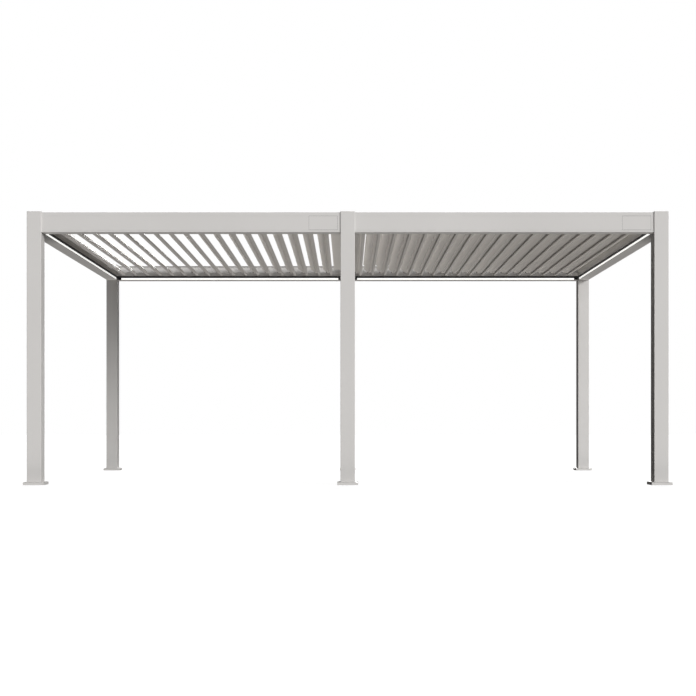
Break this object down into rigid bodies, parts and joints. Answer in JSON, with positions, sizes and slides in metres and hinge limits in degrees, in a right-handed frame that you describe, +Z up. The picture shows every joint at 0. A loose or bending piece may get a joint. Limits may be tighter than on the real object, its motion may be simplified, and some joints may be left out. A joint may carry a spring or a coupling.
{
  "type": "louvered pergola",
  "caption": "Free-standing flat-roofed pergola: posts carry a gutter beam frame whose two bays are roofed by turning louvers, with light strips round each bay.",
  "frame": {"origin": "on the floor, under the middle of the plan", "axes": "+X to the right along the front, +Y towards the back, +Z up"},
  "size_m": [6.06, 4.06, 2.56],
  "materials": {
    "frame_coating": "satin",
    "louver_coating": "satin",
    "foot_steel": "matte",
    "light_diffuser": "satin",
    "black_plastic": "matte"
  },
  "bodies": {
    "frame": {"front_left_post": "frame_coating", "front_centre_post": "frame_coating", "front_right_post": "frame_coating", "back_left_post": "frame_coating", "back_centre_post": "frame_coating", "back_right_post": "frame_coating", "front_left_beam": "frame_coating", "front_right_beam": "frame_coating", "back_left_beam": "frame_coating", "back_right_beam": "frame_coating", "left_side_beam": "frame_coating", "right_side_beam": "frame_coating", "centre_beam": "frame_coating", "post_caps": "frame_coating", "foot_plates": "foot_steel", "foot_covers": "frame_coating", "access_covers": "frame_coating", "closing_plates": "louver_coating", "left_bay_light_strips": "light_diffuser", "right_bay_light_strips": "light_diffuser", "light_strip_channels": "black_plastic", "bearing_blocks": "black_plastic"},
    "left_louver_01": {"left_louver_01": "louver_coating"},
    "left_louver_02": {"left_louver_02": "louver_coating"},
    "left_louver_03": {"left_louver_03": "louver_coating"},
    "left_louver_04": {"left_louver_04": "louver_coating"},
    "left_louver_05": {"left_louver_05": "louver_coating"},
    "left_louver_06": {"left_louver_06": "louver_coating"},
    "left_louver_07": {"left_louver_07": "louver_coating"},
    "left_louver_08": {"left_louver_08": "louver_coating"},
    "left_louver_09": {"left_louver_09": "louver_coating"},
    "left_louver_10": {"left_louver_10": "louver_coating"},
    "left_louver_11": {"left_louver_11": "louver_coating"},
    "left_louver_12": {"left_louver_12": "louver_coating"},
    "left_louver_13": {"left_louver_13": "louver_coating"},
    "left_louver_14": {"left_louver_14": "louver_coating"},
    "left_louver_15": {"left_louver_15": "louver_coating"},
    "left_louver_16": {"left_louver_16": "louver_coating"},
    "left_louver_17": {"left_louver_17": "louver_coating"},
    "left_louver_18": {"left_louver_18": "louver_coating"},
    "right_louver_01": {"right_louver_01": "louver_coating"},
    "right_louver_02": {"right_louver_02": "louver_coating"},
    "right_louver_03": {"right_louver_03": "louver_coating"},
    "right_louver_04": {"right_louver_04": "louver_coating"},
    "right_louver_05": {"right_louver_05": "louver_coating"},
    "right_louver_06": {"right_louver_06": "louver_coating"},
    "right_louver_07": {"right_louver_07": "louver_coating"},
    "right_louver_08": {"right_louver_08": "louver_coating"},
    "right_louver_09": {"right_louver_09": "louver_coating"},
    "right_louver_10": {"right_louver_10": "louver_coating"},
    "right_louver_11": {"right_louver_11": "louver_coating"},
    "right_louver_12": {"right_louver_12": "louver_coating"},
    "right_louver_13": {"right_louver_13": "louver_coating"},
    "right_louver_14": {"right_louver_14": "louver_coating"},
    "right_louver_15": {"right_louver_15": "louver_coating"},
    "right_louver_16": {"right_louver_16": "louver_coating"},
    "right_louver_17": {"right_louver_17": "louver_coating"},
    "right_louver_18": {"right_louver_18": "louver_coating"}
  },
  "joints": [
    {"name": "left_louver_01_tilt", "type": "hinge", "parent": "frame", "child": "left_louver_01", "pos_m": [-2.833, 0, 2.482], "axis": [0, 1, 0], "range_deg": [-42, 48]},
    {"name": "left_louver_02_tilt", "type": "hinge", "parent": "frame", "child": "left_louver_02", "pos_m": [-2.6816, 0, 2.482], "axis": [0, 1, 0], "range_deg": [-42, 48]},
    {"name": "left_louver_03_tilt", "type": "hinge", "parent": "frame", "child": "left_louver_03", "pos_m": [-2.5302, 0, 2.482], "axis": [0, 1, 0], "range_deg": [-42, 48]},
    {"name": "left_louver_04_tilt", "type": "hinge", "parent": "frame", "child": "left_louver_04", "pos_m": [-2.3788, 0, 2.482], "axis": [0, 1, 0], "range_deg": [-42, 48]},
    {"name": "left_louver_05_tilt", "type": "hinge", "parent": "frame", "child": "left_louver_05", "pos_m": [-2.2274, 0, 2.482], "axis": [0, 1, 0], "range_deg": [-42, 48]},
    {"name": "left_louver_06_tilt", "type": "hinge", "parent": "frame", "child": "left_louver_06", "pos_m": [-2.076, 0, 2.482], "axis": [0, 1, 0], "range_deg": [-42, 48]},
    {"name": "left_louver_07_tilt", "type": "hinge", "parent": "frame", "child": "left_louver_07", "pos_m": [-1.9246, 0, 2.482], "axis": [0, 1, 0], "range_deg": [-42, 48]},
    {"name": "left_louver_08_tilt", "type": "hinge", "parent": "frame", "child": "left_louver_08", "pos_m": [-1.7732, 0, 2.482], "axis": [0, 1, 0], "range_deg": [-42, 48]},
    {"name": "left_louver_09_tilt", "type": "hinge", "parent": "frame", "child": "left_louver_09", "pos_m": [-1.6218, 0, 2.482], "axis": [0, 1, 0], "range_deg": [-42, 48]},
    {"name": "left_louver_10_tilt", "type": "hinge", "parent": "frame", "child": "left_louver_10", "pos_m": [-1.4704, 0, 2.482], "axis": [0, 1, 0], "range_deg": [-42, 48]},
    {"name": "left_louver_11_tilt", "type": "hinge", "parent": "frame", "child": "left_louver_11", "pos_m": [-1.319, 0, 2.482], "axis": [0, 1, 0], "range_deg": [-42, 48]},
    {"name": "left_louver_12_tilt", "type": "hinge", "parent": "frame", "child": "left_louver_12", "pos_m": [-1.1676, 0, 2.482], "axis": [0, 1, 0], "range_deg": [-42, 48]},
    {"name": "left_louver_13_tilt", "type": "hinge", "parent": "frame", "child": "left_louver_13", "pos_m": [-1.0162, 0, 2.482], "axis": [0, 1, 0], "range_deg": [-42, 48]},
    {"name": "left_louver_14_tilt", "type": "hinge", "parent": "frame", "child": "left_louver_14", "pos_m": [-0.8648, 0, 2.482], "axis": [0, 1, 0], "range_deg": [-42, 48]},
    {"name": "left_louver_15_tilt", "type": "hinge", "parent": "frame", "child": "left_louver_15", "pos_m": [-0.7134, 0, 2.482], "axis": [0, 1, 0], "range_deg": [-42, 48]},
    {"name": "left_louver_16_tilt", "type": "hinge", "parent": "frame", "child": "left_louver_16", "pos_m": [-0.562, 0, 2.482], "axis": [0, 1, 0], "range_deg": [-42, 48]},
    {"name": "left_louver_17_tilt", "type": "hinge", "parent": "frame", "child": "left_louver_17", "pos_m": [-0.4106, 0, 2.482], "axis": [0, 1, 0], "range_deg": [-42, 48]},
    {"name": "left_louver_18_tilt", "type": "hinge", "parent": "frame", "child": "left_louver_18", "pos_m": [-0.2592, 0, 2.482], "axis": [0, 1, 0], "range_deg": [-42, 48]},
    {"name": "right_louver_01_tilt", "type": "hinge", "parent": "frame", "child": "right_louver_01", "pos_m": [0.0995, 0, 2.482], "axis": [0, 1, 0], "range_deg": [-42, 48]},
    {"name": "right_louver_02_tilt", "type": "hinge", "parent": "frame", "child": "right_louver_02", "pos_m": [0.2509, 0, 2.482], "axis": [0, 1, 0], "range_deg": [-42, 48]},
    {"name": "right_louver_03_tilt", "type": "hinge", "parent": "frame", "child": "right_louver_03", "pos_m": [0.4023, 0, 2.482], "axis": [0, 1, 0], "range_deg": [-42, 48]},
    {"name": "right_louver_04_tilt", "type": "hinge", "parent": "frame", "child": "right_louver_04", "pos_m": [0.5537, 0, 2.482], "axis": [0, 1, 0], "range_deg": [-42, 48]},
    {"name": "right_louver_05_tilt", "type": "hinge", "parent": "frame", "child": "right_louver_05", "pos_m": [0.7051, 0, 2.482], "axis": [0, 1, 0], "range_deg": [-42, 48]},
    {"name": "right_louver_06_tilt", "type": "hinge", "parent": "frame", "child": "right_louver_06", "pos_m": [0.8565, 0, 2.482], "axis": [0, 1, 0], "range_deg": [-42, 48]},
    {"name": "right_louver_07_tilt", "type": "hinge", "parent": "frame", "child": "right_louver_07", "pos_m": [1.0079, 0, 2.482], "axis": [0, 1, 0], "range_deg": [-42, 48]},
    {"name": "right_louver_08_tilt", "type": "hinge", "parent": "frame", "child": "right_louver_08", "pos_m": [1.1593, 0, 2.482], "axis": [0, 1, 0], "range_deg": [-42, 48]},
    {"name": "right_louver_09_tilt", "type": "hinge", "parent": "frame", "child": "right_louver_09", "pos_m": [1.3107, 0, 2.482], "axis": [0, 1, 0], "range_deg": [-42, 48]},
    {"name": "right_louver_10_tilt", "type": "hinge", "parent": "frame", "child": "right_louver_10", "pos_m": [1.4621, 0, 2.482], "axis": [0, 1, 0], "range_deg": [-42, 48]},
    {"name": "right_louver_11_tilt", "type": "hinge", "parent": "frame", "child": "right_louver_11", "pos_m": [1.6135, 0, 2.482], "axis": [0, 1, 0], "range_deg": [-42, 48]},
    {"name": "right_louver_12_tilt", "type": "hinge", "parent": "frame", "child": "right_louver_12", "pos_m": [1.7649, 0, 2.482], "axis": [0, 1, 0], "range_deg": [-42, 48]},
    {"name": "right_louver_13_tilt", "type": "hinge", "parent": "frame", "child": "right_louver_13", "pos_m": [1.9163, 0, 2.482], "axis": [0, 1, 0], "range_deg": [-42, 48]},
    {"name": "right_louver_14_tilt", "type": "hinge", "parent": "frame", "child": "right_louver_14", "pos_m": [2.0677, 0, 2.482], "axis": [0, 1, 0], "range_deg": [-42, 48]},
    {"name": "right_louver_15_tilt", "type": "hinge", "parent": "frame", "child": "right_louver_15", "pos_m": [2.2191, 0, 2.482], "axis": [0, 1, 0], "range_deg": [-42, 48]},
    {"name": "right_louver_16_tilt", "type": "hinge", "parent": "frame", "child": "right_louver_16", "pos_m": [2.3705, 0, 2.482], "axis": [0, 1, 0], "range_deg": [-42, 48]},
    {"name": "right_louver_17_tilt", "type": "hinge", "parent": "frame", "child": "right_louver_17", "pos_m": [2.5219, 0, 2.482], "axis": [0, 1, 0], "range_deg": [-42, 48]},
    {"name": "right_louver_18_tilt", "type": "hinge", "parent": "frame", "child": "right_louver_18", "pos_m": [2.6733, 0, 2.482], "axis": [0, 1, 0], "range_deg": [-42, 48]}
  ],
  "couplings": [
    {"joint": "left_louver_02_tilt", "follows": "left_louver_01_tilt", "ratio": 1},
    {"joint": "left_louver_03_tilt", "follows": "left_louver_01_tilt", "ratio": 1},
    {"joint": "left_louver_04_tilt", "follows": "left_louver_01_tilt", "ratio": 1},
    {"joint": "left_louver_05_tilt", "follows": "left_louver_01_tilt", "ratio": 1},
    {"joint": "left_louver_06_tilt", "follows": "left_louver_01_tilt", "ratio": 1},
    {"joint": "left_louver_07_tilt", "follows": "left_louver_01_tilt", "ratio": 1},
    {"joint": "left_louver_08_tilt", "follows": "left_louver_01_tilt", "ratio": 1},
    {"joint": "left_louver_09_tilt", "follows": "left_louver_01_tilt", "ratio": 1},
    {"joint": "left_louver_10_tilt", "follows": "left_louver_01_tilt", "ratio": 1},
    {"joint": "left_louver_11_tilt", "follows": "left_louver_01_tilt", "ratio": 1},
    {"joint": "left_louver_12_tilt", "follows": "left_louver_01_tilt", "ratio": 1},
    {"joint": "left_louver_13_tilt", "follows": "left_louver_01_tilt", "ratio": 1},
    {"joint": "left_louver_14_tilt", "follows": "left_louver_01_tilt", "ratio": 1},
    {"joint": "left_louver_15_tilt", "follows": "left_louver_01_tilt", "ratio": 1},
    {"joint": "left_louver_16_tilt", "follows": "left_louver_01_tilt", "ratio": 1},
    {"joint": "left_louver_17_tilt", "follows": "left_louver_01_tilt", "ratio": 1},
    {"joint": "left_louver_18_tilt", "follows": "left_louver_01_tilt", "ratio": 1},
    {"joint": "right_louver_02_tilt", "follows": "right_louver_01_tilt", "ratio": 1},
    {"joint": "right_louver_03_tilt", "follows": "right_louver_01_tilt", "ratio": 1},
    {"joint": "right_louver_04_tilt", "follows": "right_louver_01_tilt", "ratio": 1},
    {"joint": "right_louver_05_tilt", "follows": "right_louver_01_tilt", "ratio": 1},
    {"joint": "right_louver_06_tilt", "follows": "right_louver_01_tilt", "ratio": 1},
    {"joint": "right_louver_07_tilt", "follows": "right_louver_01_tilt", "ratio": 1},
    {"joint": "right_louver_08_tilt", "follows": "right_louver_01_tilt", "ratio": 1},
    {"joint": "right_louver_09_tilt", "follows": "right_louver_01_tilt", "ratio": 1},
    {"joint": "right_louver_10_tilt", "follows": "right_louver_01_tilt", "ratio": 1},
    {"joint": "right_louver_11_tilt", "follows": "right_louver_01_tilt", "ratio": 1},
    {"joint": "right_louver_12_tilt", "follows": "right_louver_01_tilt", "ratio": 1},
    {"joint": "right_louver_13_tilt", "follows": "right_louver_01_tilt", "ratio": 1},
    {"joint": "right_louver_14_tilt", "follows": "right_louver_01_tilt", "ratio": 1},
    {"joint": "right_louver_15_tilt", "follows": "right_louver_01_tilt", "ratio": 1},
    {"joint": "right_louver_16_tilt", "follows": "right_louver_01_tilt", "ratio": 1},
    {"joint": "right_louver_17_tilt", "follows": "right_louver_01_tilt", "ratio": 1},
    {"joint": "right_louver_18_tilt", "follows": "right_louver_01_tilt", "ratio": 1}
  ]
}
